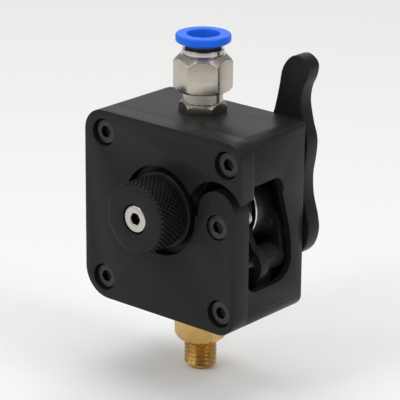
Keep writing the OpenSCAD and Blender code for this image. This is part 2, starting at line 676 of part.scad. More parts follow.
placed() main_body();
placed() cover_plate();
placed() cover_screws();
placed() stop_screw();
placed() stop_post();
placed() arm_pivot_pin();
placed() knob_bush();
placed() lever_bush();
placed() front_bearing_outer();
placed() rear_bearing_outer();
placed() inlet_guide();
placed() outlet_guide();
placed() fitting_base();
placed() fitting_hex_body();
placed() fitting_sleeve();
placed() tube_seal();
placed() grip_ring();
placed() outlet_fitting();
placed() outlet_washer();
placed() arm_spring();
placed() release_collet();
placed() knob();
placed() knob_screw();
placed() knob_shaft();
placed() knob_pinion();
placed() drive_shaft();
placed() drive_gear();
placed() hob_gear();
placed() hob_set_screw();
placed() front_bearing_inner();
placed() rear_bearing_inner();
placed() front_bearing_balls();
placed() rear_bearing_balls();
placed() idler_arm();
placed() arm_bush();
placed() idler_axle();
placed() idler_washers();
placed() idler_inner_ring();
placed() idler_outer_ring();
placed() idler_shields();
placed() idler_balls();
placed() idler_cage();
placed() release_lever();
placed() cam_shaft();
placed() lever_washer();
placed() lever_screw();
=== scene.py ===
"""Looks of a compact filament extruder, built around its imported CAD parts."""
import functools
import logging
import math
from collections.abc import Callable
from dataclasses import dataclass, field
from enum import Enum

import bmesh
import bpy
from mathutils import Matrix, Vector


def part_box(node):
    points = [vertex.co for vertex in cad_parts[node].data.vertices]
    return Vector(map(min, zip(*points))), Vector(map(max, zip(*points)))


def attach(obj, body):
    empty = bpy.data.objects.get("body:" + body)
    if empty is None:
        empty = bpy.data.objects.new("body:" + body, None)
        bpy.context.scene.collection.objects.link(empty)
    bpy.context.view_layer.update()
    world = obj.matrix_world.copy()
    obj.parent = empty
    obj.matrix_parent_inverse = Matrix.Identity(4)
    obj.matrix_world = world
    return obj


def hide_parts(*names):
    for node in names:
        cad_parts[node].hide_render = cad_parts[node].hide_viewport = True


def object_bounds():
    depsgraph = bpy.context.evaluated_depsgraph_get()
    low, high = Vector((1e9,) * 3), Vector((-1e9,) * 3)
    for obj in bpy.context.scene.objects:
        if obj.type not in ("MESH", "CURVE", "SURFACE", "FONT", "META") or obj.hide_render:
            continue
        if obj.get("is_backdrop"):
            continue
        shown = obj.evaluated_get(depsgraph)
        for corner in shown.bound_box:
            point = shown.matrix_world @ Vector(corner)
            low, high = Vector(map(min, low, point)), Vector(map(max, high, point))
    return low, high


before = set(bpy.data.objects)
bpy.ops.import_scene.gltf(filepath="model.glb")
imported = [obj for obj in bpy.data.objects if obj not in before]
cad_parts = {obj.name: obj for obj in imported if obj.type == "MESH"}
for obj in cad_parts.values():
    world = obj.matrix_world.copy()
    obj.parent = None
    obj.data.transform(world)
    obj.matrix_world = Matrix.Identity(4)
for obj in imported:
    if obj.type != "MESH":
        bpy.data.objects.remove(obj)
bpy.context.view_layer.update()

log = logging.getLogger("extruder")

Colour = tuple[float, float, float]


# ---- node trees ----


class Value:
    """A number that varies over a surface or from point to point. Arithmetic on it adds Math nodes."""

    def __init__(self, graph: "Graph", socket: bpy.types.NodeSocket) -> None:
        """Wraps one socket.

        Args:
            graph: the tree that the socket belongs to.
            socket: an output that carries one number.
        """
        self.graph = graph
        self.socket = socket

    def math(self, operation: str, *operands: object, clamp: bool = False) -> "Value":
        """Adds one Math node.

        Args:
            operation: the Math node's operation.
            operands: values or numbers, in the order of the node's sockets.
            clamp: whether the result is kept between 0 and 1.

        Returns:
            The node's result.
        """
        settings = {"operation": operation, "use_clamp": clamp}
        made = self.graph.node("ShaderNodeMath", settings, dict(enumerate(operands)))
        return Value(self.graph, made.outputs[0])

    def __add__(self, other: object) -> "Value":
        """Returns self + other."""
        return self.math("ADD", self, other)

    def __sub__(self, other: object) -> "Value":
        """Returns self - other."""
        return self.math("SUBTRACT", self, other)

    def __rsub__(self, other: object) -> "Value":
        """Returns other - self."""
        return self.math("SUBTRACT", other, self)

    def __mul__(self, other: object) -> "Value":
        """Returns self * other."""
        return self.math("MULTIPLY", self, other)

    def __truediv__(self, other: object) -> "Value":
        """Returns self / other."""
        return self.math("DIVIDE", self, other)

    def __mod__(self, other: object) -> "Value":
        """Returns what is left of self after whole multiples of other."""
        return self.math("FLOORED_MODULO", self, other)

    __radd__ = __add__
    __rmul__ = __mul__

    def clamped(self) -> "Value":
        """Returns the value kept between 0 and 1."""
        return self.math("ADD", self, 0.0, clamp=True)


class Graph:
    """A node tree that is built one node at a time."""

    def __init__(self, tree: bpy.types.NodeTree) -> None:
        """Wraps an empty tree."""
        self.tree = tree

    def node(
        self, kind: str, settings: dict | None = None, sockets: dict | None = None
    ) -> bpy.types.Node:
        """Adds a node.

        Args:
            kind: the node's type.
            settings: its properties, set first; "stops" gives a colour ramp's stops.
            sockets: values or links of its input sockets, by name or place.

        Returns:
            The new node.
        """
        made = self.tree.nodes.new(kind)
        for key, value in (settings or {}).items():
            if key == "stops":
                self._set_stops(made, value)
            else:
                setattr(made, key, value)
        for key, value in (sockets or {}).items():
            source = value.socket if isinstance(value, Value) else value
            if isinstance(source, bpy.types.NodeSocket):
                self.tree.links.new(source, made.inputs[key])
            else:
                made.inputs[key].default_value = source
        return made

    @staticmethod
    def _set_stops(ramp: bpy.types.Node, stops: list[tuple[float, Colour]]) -> None:
        """Gives a colour ramp its stops, each a place from 0 to 1 and a colour."""
        elements = ramp.color_ramp.elements
        while len(elements) < len(stops):
            elements.new(0.5)
        for element, (place, colour) in zip(elements, stops):
            element.position = place
            element.color = (*colour, 1.0)


class Grain(Enum):
    """The marks that a surface's making leaves on it."""

    BLASTED = (1.0, 1.0, 1.0)
    TURNED_ABOUT_Y = (0.02, 1.0, 0.02)
    TURNED_ABOUT_Z = (0.02, 0.02, 1.0)
    GROUND_LENGTHWISE = (1.0, 0.03, 0.03)


class Paint(Graph):
    """The nodes of one material, around a Principled shader."""

    def __init__(self, name: str) -> None:
        """Makes an empty material of that name."""
        self.material = bpy.data.materials.new(name)
        self.material.use_nodes = True
        super().__init__(self.material.node_tree)
        self.tree.nodes.clear()
        self.shader = self.node("ShaderNodeBsdfPrincipled")
        self.node("ShaderNodeOutputMaterial", sockets={"Surface": self.shader.outputs["BSDF"]})
        self.place = self.node("ShaderNodeTexCoord").outputs["Object"]

    def noise(self, size: float, grain: Grain = Grain.BLASTED, detail: float = 2.0) -> Value:
        """Noise whose features are about one size.

        Args:
            size: the size of a feature, in metres.
            grain: how the features are drawn out.
            detail: how many finer layers it has.

        Returns:
            A value around 0.5.
        """
        scaled = self.node("ShaderNodeMapping", sockets={"Vector": self.place, "Scale": grain.value})
        sockets = {"Vector": scaled.outputs[0], "Scale": 1 / size, "Detail": detail}
        return Value(self, self.node("ShaderNodeTexNoise", sockets=sockets).outputs["Fac"])

    def blend(self, share: Value, first: Colour, second: Colour) -> bpy.types.NodeSocket:
        """Mixes two colours by a share that varies over the surface, and returns the result."""
        sockets = {0: share, 6: (*first, 1.0), 7: (*second, 1.0)}
        return self.node("ShaderNodeMix", {"data_type": "RGBA"}, sockets).outputs[2]

    def relief(self, height: Value, depth: float, strength: float) -> None:
        """Raises the surface.

        Args:
            height: the height, from 0 to 1.
            depth: what a height of 1 stands for, in metres.
            strength: how much of it shows, from 0 to 1.
        """
        sockets = {"Height": height, "Distance": depth, "Strength": strength}
        bump = self.node("ShaderNodeBump", sockets=sockets)
        self.tree.links.new(bump.outputs[0], self.shader.inputs["Normal"])

    def feed(self, **sockets: object) -> None:
        """Sets the shader's sockets; an underscore in a name stands for a space."""
        for name, value in sockets.items():
            target = self.shader.inputs[name.replace("_", " ")]
            source = value.socket if isinstance(value, Value) else value
            if isinstance(source, bpy.types.NodeSocket):
                self.tree.links.new(source, target)
            else:
                target.default_value = source


# ---- finishes ----


def shaded(colour: Colour, by: float) -> Colour:
    """Returns a colour made lighter or darker by a factor, kept below white."""
    return tuple(min(1.0, part * by) for part in colour)


@dataclass(frozen=True)
class Anodised:
    """Aluminium that was blasted, then dyed and sealed. Its sheen is broad and its grain is fine."""

    name: str
    colour: Colour = (0.0135, 0.0132, 0.0135)
    roughness: float = 0.4
    grain_size: float = 0.00012
    relief: float = 0.25
    ior: float = 1.24

    def material(self) -> bpy.types.Material:
        """Returns the finish as a material."""
        paint = Paint(self.name)
        fine = paint.noise(self.grain_size, detail=3.0)
        broad = paint.noise(0.011)
        handled = (broad * 1.6 - 0.35).clamped()
        mottle = (fine * 0.6 + handled * 0.4).clamped()
        paint.feed(
            Base_Color=paint.blend(mottle, shaded(self.colour, 0.75), shaded(self.colour, 1.35)),
            Roughness=fine * 0.1 + handled * 0.05 + (self.roughness - 0.07),
            Metallic=0.0,
            IOR=self.ior,
        )
        paint.relief(fine, 0.00002, self.relief)
        return paint.material


@dataclass(frozen=True)
class BareMetal:
    """A metal or a plating with tool marks, drifts of colour and small stains."""

    name: str
    colour: Colour
    roughness: float
    grain: Grain
    grain_size: float = 0.0001
    relief: float = 0.2
    stain: float = 0.15

    def material(self) -> bpy.types.Material:
        """Returns the finish as a material."""
        paint = Paint(self.name)
        marks = paint.noise(self.grain_size, self.grain, detail=3.0)
        patches = paint.noise(0.0022, detail=4.0)
        stained = (patches * 2.2 - 0.75).clamped() * self.stain
        paint.feed(
            Base_Color=paint.blend(
                stained + marks * 0.15, shaded(self.colour, 1.08), shaded(self.colour, 0.62)
            ),
            Roughness=marks * 0.14 + stained * 0.5 + (self.roughness - 0.07),
            Metallic=1.0,
        )
        paint.relief(marks, 0.000012, self.relief)
        return paint.material


@dataclass(frozen=True)
class Moulded:
    """A moulded plastic or rubber with a faint flow pattern and a fine surface texture."""

    name: str
    colour: Colour
    roughness: float
    glow: float = 0.0
    shine: float = 0.5

    def material(self) -> bpy.types.Material:
        """Returns the finish as a material."""
        paint = Paint(self.name)
        texture = paint.noise(0.00018, detail=2.0)
        flow = paint.noise(0.004, detail=1.0)
        paint.feed(
            Base_Color=paint.blend(
                (flow * 1.4 - 0.2).clamped(), shaded(self.colour, 0.92), shaded(self.colour, 1.06)
            ),
            Roughness=texture * 0.08 + flow * 0.04 + (self.roughness - 0.06),
            Subsurface_Weight=self.glow,
            Subsurface_Radius=(0.0002, 0.0004, 0.0009),
            Specular_IOR_Level=self.shine,
        )
        paint.relief(texture, 0.00001, 0.2)
        return paint.material


HOUSING_BLACK = Anodised("housing_black")
KNOB_BLACK = Anodised("knob_black", colour=(0.011, 0.011, 0.0115), roughness=0.36, relief=0.18)
LEVER_BLACK = Anodised("lever_black", colour=(0.012, 0.012, 0.0125), roughness=0.36, relief=0.2)
ARM_BLACK = Anodised("arm_black", colour=(0.016, 0.016, 0.017), roughness=0.42)
SCREW_BLACK = BareMetal("screw_black", (0.055, 0.053, 0.05), 0.38, Grain.TURNED_ABOUT_Y, relief=0.12)
NICKEL = BareMetal("nickel", (0.5, 0.455, 0.4), 0.23, Grain.TURNED_ABOUT_Z, 0.00016, 0.16, 0.1)
BRASS = BareMetal("brass_turned", (0.66, 0.42, 0.15), 0.24, Grain.TURNED_ABOUT_Z, 0.00014, 0.16, 0.25)
BRONZE = BareMetal("bronze_sintered", (0.42, 0.25, 0.11), 0.46, Grain.BLASTED, 0.00015, 0.35, 0.4)
STEEL = BareMetal("steel_turned", (0.52, 0.52, 0.52), 0.32, Grain.TURNED_ABOUT_Y, 0.00012, 0.2, 0.12)
BEARING_STEEL = BareMetal("steel_ground", (0.68, 0.67, 0.66), 0.2, Grain.TURNED_ABOUT_Y, 0.00008, 0.1, 0.05)
POLISHED_STEEL = BareMetal(
    "steel_polished", (0.74, 0.73, 0.7), 0.16, Grain.TURNED_ABOUT_Y, 0.0001, 0.06, 0.06
)
SCREW_STEEL = BareMetal("steel_screw", (0.5, 0.48, 0.44), 0.3, Grain.TURNED_ABOUT_Y, 0.00014, 0.14, 0.12)
HOB_STEEL = BareMetal("steel_hobbed", (0.45, 0.45, 0.44), 0.36, Grain.BLASTED, 0.0002, 0.25, 0.2)
SPRING_STEEL = BareMetal("steel_wire", (0.46, 0.46, 0.47), 0.28, Grain.GROUND_LENGTHWISE, 0.00012, 0.15, 0.15)
COLLET_BLUE = Moulded("collet_blue", (0.002, 0.13, 0.8), 0.42, glow=0.05, shine=0.25)
# the black of the real tube seal, also used as painted shade on the collet's stem
SEAL_BLACK_AND_PAINTED_SHADE = Moulded("seal_rubber", (0.012, 0.012, 0.012), 0.55)
GUIDE_WHITE = Moulded("guide_polymer", (0.72, 0.7, 0.62), 0.42, glow=0.1)
# painted shade: a near-black finish for the inside of the knob screw's hex socket
SOCKET_PAINTED_SHADE = Anodised("socket_painted_shade", colour=(0.004, 0.004, 0.004), roughness=0.6, ior=1.15)
# painted shade: a black finish on the steel idler ring, standing for the shade on it inside the window
WHEEL_PAINTED_SHADE = Anodised("wheel_painted_shade", colour=(0.01, 0.01, 0.01), roughness=0.3, relief=0.12, ior=1.4)
DARK_BUSH = BareMetal("bush_dark", (0.12, 0.115, 0.11), 0.4, Grain.TURNED_ABOUT_Y, relief=0.2)

Finish = Anodised | BareMetal | Moulded


@functools.cache
def material_of(finish: Finish) -> bpy.types.Material:
    """Returns the one material of a finish, made the first time it is asked for."""
    return finish.material()


# ---- shapes ----


def link(name: str, mesh: bpy.types.Mesh) -> bpy.types.Object:
    """Returns a new object at the origin that shows a mesh."""
    made = bpy.data.objects.new(name, mesh)
    bpy.context.scene.collection.objects.link(made)
    return made


def settle(made: bpy.types.Object) -> bpy.types.Object:
    """Turns an object's modifiers into its plain mesh.

    Args:
        made: an object with modifiers.

    Returns:
        The same object, with the evaluated mesh and no modifier.
    """
    bpy.context.view_layer.update()
    graph = bpy.context.evaluated_depsgraph_get()
    plain = bpy.data.meshes.new_from_object(made.evaluated_get(graph), depsgraph=graph)
    made.modifiers.clear()
    made.data = plain
    return made


def smooth(made: bpy.types.Object, crease: float = 32.0) -> bpy.types.Object:
    """Shades an object smooth, with sharp edges where its faces meet at more than crease degrees."""
    made.data.shade_smooth()
    made.data.set_sharp_from_angle(angle=math.radians(crease))
    return made


def revolved(
    name: str, outline: list[tuple[float, float]], centre: Vector, steps: int = 128
) -> bpy.types.Object:
    """Turns a closed outline about an axis along Y.

    Args:
        name: the object's name.
        outline: corners of the section, each a radius and a place along Y.
        centre: a point on the axis; its Y is left out.
        steps: faces round the axis.

    Returns:
        A closed solid.
    """
    shell = bmesh.new()
    rings = []
    for step in range(steps):
        turn = 2 * math.pi * step / steps
        x, z = math.cos(turn), math.sin(turn)
        rings.append([shell.verts.new((centre.x + r * x, y, centre.z + r * z)) for r, y in outline])
    for ring, following in zip(rings, rings[1:] + rings[:1]):
        for k in range(len(outline)):
            n = (k + 1) % len(outline)
            shell.faces.new((ring[k], ring[n], following[n], following[k]))
    bmesh.ops.recalc_face_normals(shell, faces=shell.faces)
    mesh = bpy.data.meshes.new(name)
    shell.to_mesh(mesh)
    shell.free()
    return link(name, mesh)


def copied(node: str, name: str) -> bpy.types.Object:
    """Returns a copy of a CAD node with its triangles joined and its flats made whole."""
    shell = bmesh.new()
    shell.from_mesh(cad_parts[node].data)
    bmesh.ops.remove_doubles(shell, verts=shell.verts, dist=2e-7)
    bmesh.ops.dissolve_degenerate(shell, edges=shell.edges, dist=1e-7)
    bmesh.ops.dissolve_limit(shell, angle_limit=math.radians(0.4), verts=shell.verts, edges=shell.edges)
    mesh = bpy.data.meshes.new(name)
    shell.to_mesh(mesh)
    shell.free()
    return link(name, mesh)


def bevelled(
    made: bpy.types.Object, width: float, steps: int = 2, from_angle: float = 34.0, edges_second: bool = False
) -> bpy.types.Object:
    """Eases an object's edges.

    Args:
        made: the object.
        width: how wide an eased edge is, in metres.
        steps: faces across an eased edge.
        from_angle: the edges eased are those whose faces meet at more than this, in degrees.
        edges_second: whether the eased edges take the object's second material.

    Returns:
        The same object.
    """
    bevel = made.modifiers.new("ease", "BEVEL")
    bevel.width = width
    bevel.segments = steps
    bevel.limit_method = "ANGLE"
    bevel.angle_limit = math.radians(from_angle)
    bevel.use_clamp_overlap = True
    bevel.miter_outer = "MITER_ARC"
    bevel.material = 1 if edges_second else -1
    return settle(made)


def joined(name: str, parts: list[bpy.types.Object]) -> bpy.types.Object:
    """Makes one object of several meshes that are already in place."""
    shell = bmesh.new()
    for part in parts:
        shell.from_mesh(part.data)
    mesh = bpy.data.meshes.new(name)
    shell.to_mesh(mesh)
    shell.free()
    for part in parts:
        bpy.data.objects.remove(part)
    return link(name, mesh)


class Grown(Graph):
    """A Geometry Nodes tree whose sizes are named inputs."""

    def __init__(self, name: str) -> None:
        """Makes an empty tree of that name."""
        super().__init__(bpy.data.node_groups.new(name, "GeometryNodeTree"))
        self.name = name
        self.sizes: dict[str, float] = {}
        self.entry = self.node("NodeGroupInput")

    def size(self, name: str, value: float) -> Value:
        """Adds a named input.

        Args:
            name: the input's name.
            value: what it is set to, a whole number for a count.

        Returns:
            The input as a value.
        """
        kind = "NodeSocketInt" if isinstance(value, int) else "NodeSocketFloat"
        socket = self.tree.interface.new_socket(name, in_out="INPUT", socket_type=kind)
        self.sizes[socket.identifier] = value
        return Value(self, self.entry.outputs[name])

    def vector(self, x: object, y: object, z: object) -> bpy.types.NodeSocket:
        """Returns a vector of three values or numbers."""
        return self.node("ShaderNodeCombineXYZ", sockets={0: x, 1: y, 2: z}).outputs[0]

    def mesh_object(self, geometry: bpy.types.NodeSocket, finish: Finish, place: Matrix) -> bpy.types.Object:
        """Ends the tree, runs it and keeps its result as a plain mesh.

        Args:
            geometry: what the tree has made.
            finish: the finish of all its faces.
            place: where the result goes, in the row frame.

        Returns:
            An object at the origin with no modifier.
        """
        real = self.node("GeometryNodeRealizeInstances", sockets={"Geometry": geometry})
        sockets = {"Geometry": real.outputs[0], "Material": material_of(finish)}
        dressed = self.node("GeometryNodeSetMaterial", sockets=sockets)
        self.tree.interface.new_socket("Geometry", in_out="OUTPUT", socket_type="NodeSocketGeometry")
        self.node("NodeGroupOutput", sockets={"Geometry": dressed.outputs[0]})
        made = link(self.name, bpy.data.meshes.new(self.name))
        modifier = made.modifiers.new("grow", "NODES")
        modifier.node_group = self.tree
        for identifier, value in self.sizes.items():
            modifier[identifier] = value
        settle(made)
        made.data.transform(place)
        return made


def helix(
    name: str,
    radius: float,
    pitch: float,
    turns: float,
    section: float,
    sides: int,
    finish: Finish,
    place: Matrix,
    narrowed: float = 0.0,
) -> bpy.types.Object:
    """Grows a coil: a thread's ridge when its section has four sides, a wire when it has many.

    Args:
        name: the object's name.
        radius: from the axis to the middle of the section.
        pitch: the rise of one turn.
        turns: how many turns it has.
        section: the section's radius.
        sides: the section's sides.
        finish: its finish.
        place: moves it from the Z axis to its place.
        narrowed: how much smaller its radius is at the start.

    Returns:
        The coil, closed at both ends.
    """
    tree = Grown(name)
    around = tree.size("Radius", radius)
    coil = tree.node(
        "GeometryNodeCurveSpiral",
        sockets={
            "Resolution": tree.size("Steps per turn", 48),
            "Rotations": tree.size("Turns", turns),
            "Start Radius": around - tree.size("Narrowed by", narrowed),
            "End Radius": around,
            "Height": tree.size("Pitch", pitch) * tree.size("Turns in height", turns),
        },
    )
    upright = tree.node("GeometryNodeSetCurveNormal", {"mode": "Z_UP"}, {"Curve": coil.outputs[0]})
    ring = tree.node(
        "GeometryNodeCurvePrimitiveCircle",
        sockets={
            "Resolution": tree.size("Section sides", sides),
            "Radius": tree.size("Section radius", section),
        },
    )
    swept = tree.node(
        "GeometryNodeCurveToMesh",
        sockets={"Curve": upright.outputs[0], "Profile Curve": ring.outputs[0], "Fill Caps": True},
    )
    made = tree.mesh_object(swept.outputs[0], finish, place)
    shell = bmesh.new()
    shell.from_mesh(made.data)
    bmesh.ops.recalc_face_normals(shell, faces=shell.faces)
    shell.to_mesh(made.data)
    shell.free()
    return made


def dress(
    made: bpy.types.Object, body: str, finish: Finish, stands_for: tuple[str, ...] = ()
) -> bpy.types.Object:
    """Gives a piece its finish and its body, and hides the CAD nodes that it stands for.

    Args:
        made: the piece, in place.
        body: the CAD body that carries it.
        finish: its finish.
        stands_for: the CAD nodes that it replaces.

    Returns:
        The piece.
    """
    if not made.data.materials:
        made.data.materials.append(material_of(finish))
    made.data.materials[0] = material_of(finish)
    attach(made, body)
    if stands_for:
        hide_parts(*stands_for)
    return made


def touch_up(made: bpy.types.Object, finish: Finish, picked: Callable[[Vector], bool]) -> None:
    """Gives some of a piece's faces a further finish.

    Args:
        made: the piece.
        finish: the further finish.
        picked: tells from a face's middle whether it takes that finish.
    """
    made.data.materials.append(material_of(finish))
    for face in made.data.polygons:
        if picked(face.center):
            face.material_index = len(made.data.materials) - 1


def repaint(node: str, finish: Finish) -> None:
    """Gives a CAD node that stays as it is a finish."""
    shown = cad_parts[node]
    shown.data.materials.clear()
    shown.data.materials.append(material_of(finish))


@dataclass(frozen=True)
class Eased:
    """A CAD node that is shown with its edges eased."""

    node: str
    slot: str
    finish: Finish
    width: float = 0.00012
    steps: int = 2
    edge: Finish | None = None

    def build(self, body: str) -> bpy.types.Object:
        """Makes the piece and puts it on a body."""
        made = copied(self.node, f"{self.node}_eased")
        for finish in (self.finish, self.edge):
            if finish:
                made.data.materials.append(material_of(finish))
        smooth(bevelled(made, self.width, self.steps, edges_second=self.edge is not None))
        return dress(made, body, self.finish, (self.node,))


# ---- sub-assemblies ----


@dataclass
class Part:
    """A group of pieces on one body. Its CAD nodes are either eased or only repainted."""

    body: str
    eased: list[Eased] = field(default_factory=list)
    plain: dict[str, Finish] = field(default_factory=dict)

    def build(self) -> dict[str, bpy.types.Object]:
        """Makes the pieces that stand for CAD nodes and returns them by node."""
        return {part.node: part.build(self.body) for part in self.eased}

    def dress(self) -> None:
        """Finishes the CAD nodes that are shown as they are."""
        for node, finish in self.plain.items():
            repaint(node, finish)


@dataclass
class Housing(Part):
    """The block, its cover, the screws that hold it and what is pressed into it."""

    body: str = "frame"
    block_ease: float = 0.00038
    screw_ease: float = 0.00022
    eased: list[Eased] = field(default_factory=list)
    plain: dict[str, Finish] = field(
        default_factory=lambda: {
            "stop_post": STEEL,
            "knob_bush": BRONZE,
            "lever_bush": BRONZE,
            "front_bearing_outer": BEARING_STEEL,
            "rear_bearing_outer": BEARING_STEEL,
            "inlet_guide": GUIDE_WHITE,
            "outlet_guide": GUIDE_WHITE,
        }
    )

    def __post_init__(self) -> None:
        """Lists the eased pieces at this housing's sizes."""
        self.eased = [
            Eased("main_body", "anodised", HOUSING_BLACK, self.block_ease, 3),
            Eased("cover_plate", "anodised", HOUSING_BLACK, self.block_ease, 3),
            Eased("cover_screws", "black_steel", SCREW_BLACK, self.screw_ease, 3),
            Eased("stop_screw", "black_steel", SCREW_BLACK, self.screw_ease, 3),
            Eased("arm_pivot_pin", "polished_steel", POLISHED_STEEL, self.screw_ease, 3),
        ]


@dataclass
class ArmSpring:
    """The compression spring behind the arm's tail, its coils along X."""

    body: str = "frame"
    wire: float = 0.0004
    turns: float = 5.5

    def build(self) -> bpy.types.Object:
        """Winds the spring in the place of its CAD node."""
        low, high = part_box("arm_spring")
        coil = (high.z - low.z) / 2 - self.wire
        length = high.x - low.x - 2 * self.wire
        axis = Vector((low.x + self.wire, (low.y + high.y) / 2, (low.z + high.z) / 2))
        place = Matrix.Translation(axis) @ Matrix.Rotation(math.radians(90), 4, "Y")
        rise = length / self.turns
        made = helix("arm_spring_wire", coil, rise, self.turns, self.wire, 14, SPRING_STEEL, place)
        return dress(smooth(made), self.body, SPRING_STEEL, ("arm_spring",))


@dataclass
class TubeFitting(Part):
    """The push-in inlet on top: a nickelled body, its sleeve, its seal and its grip ring."""

    body: str = "frame"
    eased: list[Eased] = field(
        default_factory=lambda: [
            Eased("fitting_base", "nickel_brass", NICKEL, 0.0002, 3),
            Eased("fitting_hex_body", "nickel_brass", NICKEL, 0.00025, 3),
            Eased("fitting_sleeve", "nickel_brass", NICKEL, 0.00012, 3),
        ]
    )
    plain: dict[str, Finish] = field(
        default_factory=lambda: {"tube_seal": SEAL_BLACK_AND_PAINTED_SHADE, "grip_ring": SPRING_STEEL}
    )


@dataclass
class ReleaseCollet(Part):
    """The blue ring that is pressed to let the tube go."""

    body: str = "collet"
    eased: list[Eased] = field(
        default_factory=lambda: [Eased("release_collet", "collet_plastic", COLLET_BLUE, 0.00016, 3)]
    )
    rim: float = 0.0026
    stem_radius: float = 0.0046

    def build(self) -> dict[str, bpy.types.Object]:
        """Makes the ring and paints its stem black as painted shade, where the sleeve's shade falls on it."""
        made = super().build()
        low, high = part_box("release_collet")
        axis = (low + high) / 2
        # painted shade: the stem's faces take the black seal finish, standing for the sleeve's shade on them
        touch_up(
            made["release_collet"],
            SEAL_BLACK_AND_PAINTED_SHADE,
            lambda at: at.z < high.z - self.rim
            and math.hypot(at.x - axis.x, at.y - axis.y) < self.stem_radius,
        )
        return made


@dataclass
class OutletFitting:
    """The brass outlet: a hexagon and a cut thread below it."""

    body: str = "frame"
    pitch: float = 0.001
    thread_depth: float = 0.0005
    thread_length: float = 0.0063
    lead_in: float = 0.0009
    ease: float = 0.00025
    slack: float = 0.00002

    def build(self) -> bpy.types.Object:
        """Turns the thread's blank down to its root and cuts the thread round it."""
        low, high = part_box("outlet_fitting")
        axis = (low + high) / 2
        crest = self._crest(axis, low.z)
        root = crest - self.thread_depth
        blank = copied("outlet_fitting", "outlet_blank")
        top = low.z + self.lead_in + self.thread_length
        for corner in blank.data.vertices:
            out = Vector((corner.co.x - axis.x, corner.co.y - axis.y))
            if corner.co.z < top + self.slack and root < out.length < crest + self.slack:
                out *= (root - self.slack) / out.length
                corner.co.x, corner.co.y = axis.x + out.x, axis.y + out.y
        bevelled(blank, self.ease, 3)
        first = low.z + self.lead_in - 0.0001
        turns = (top - first) / self.pitch + 0.4
        place = Matrix.Translation((axis.x, axis.y, first))
        thread = helix("outlet_thread", root, self.pitch, turns, self.thread_depth, 4, BRASS, place)
        halfway = Matrix.Translation((axis.x, axis.y, first - self.pitch / 2))
        below = halfway @ Matrix.Rotation(math.pi, 4, "Z")
        depth = self.thread_depth
        start = helix("outlet_lead_in", root, self.pitch, 0.5, depth, 4, BRASS, below, depth)
        made = smooth(joined("outlet_fitting_cut", [blank, thread, start]), 28)
        return dress(made, self.body, BRASS, ("outlet_fitting",))

    def dress(self) -> None:
        """Finishes the washer under the hexagon."""
        repaint("outlet_washer", STEEL)

    def _crest(self, axis: Vector, bottom: float) -> float:
        """Returns the radius of the thread's crest.

        Args:
            axis: a point on the fitting's axis.
            bottom: the fitting's lower end.
        """
        reach = [
            math.hypot(corner.co.x - axis.x, corner.co.y - axis.y)
            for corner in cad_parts["outlet_fitting"].data.vertices
            if corner.co.z < bottom + self.lead_in + 0.0002
        ]
        return max(reach)


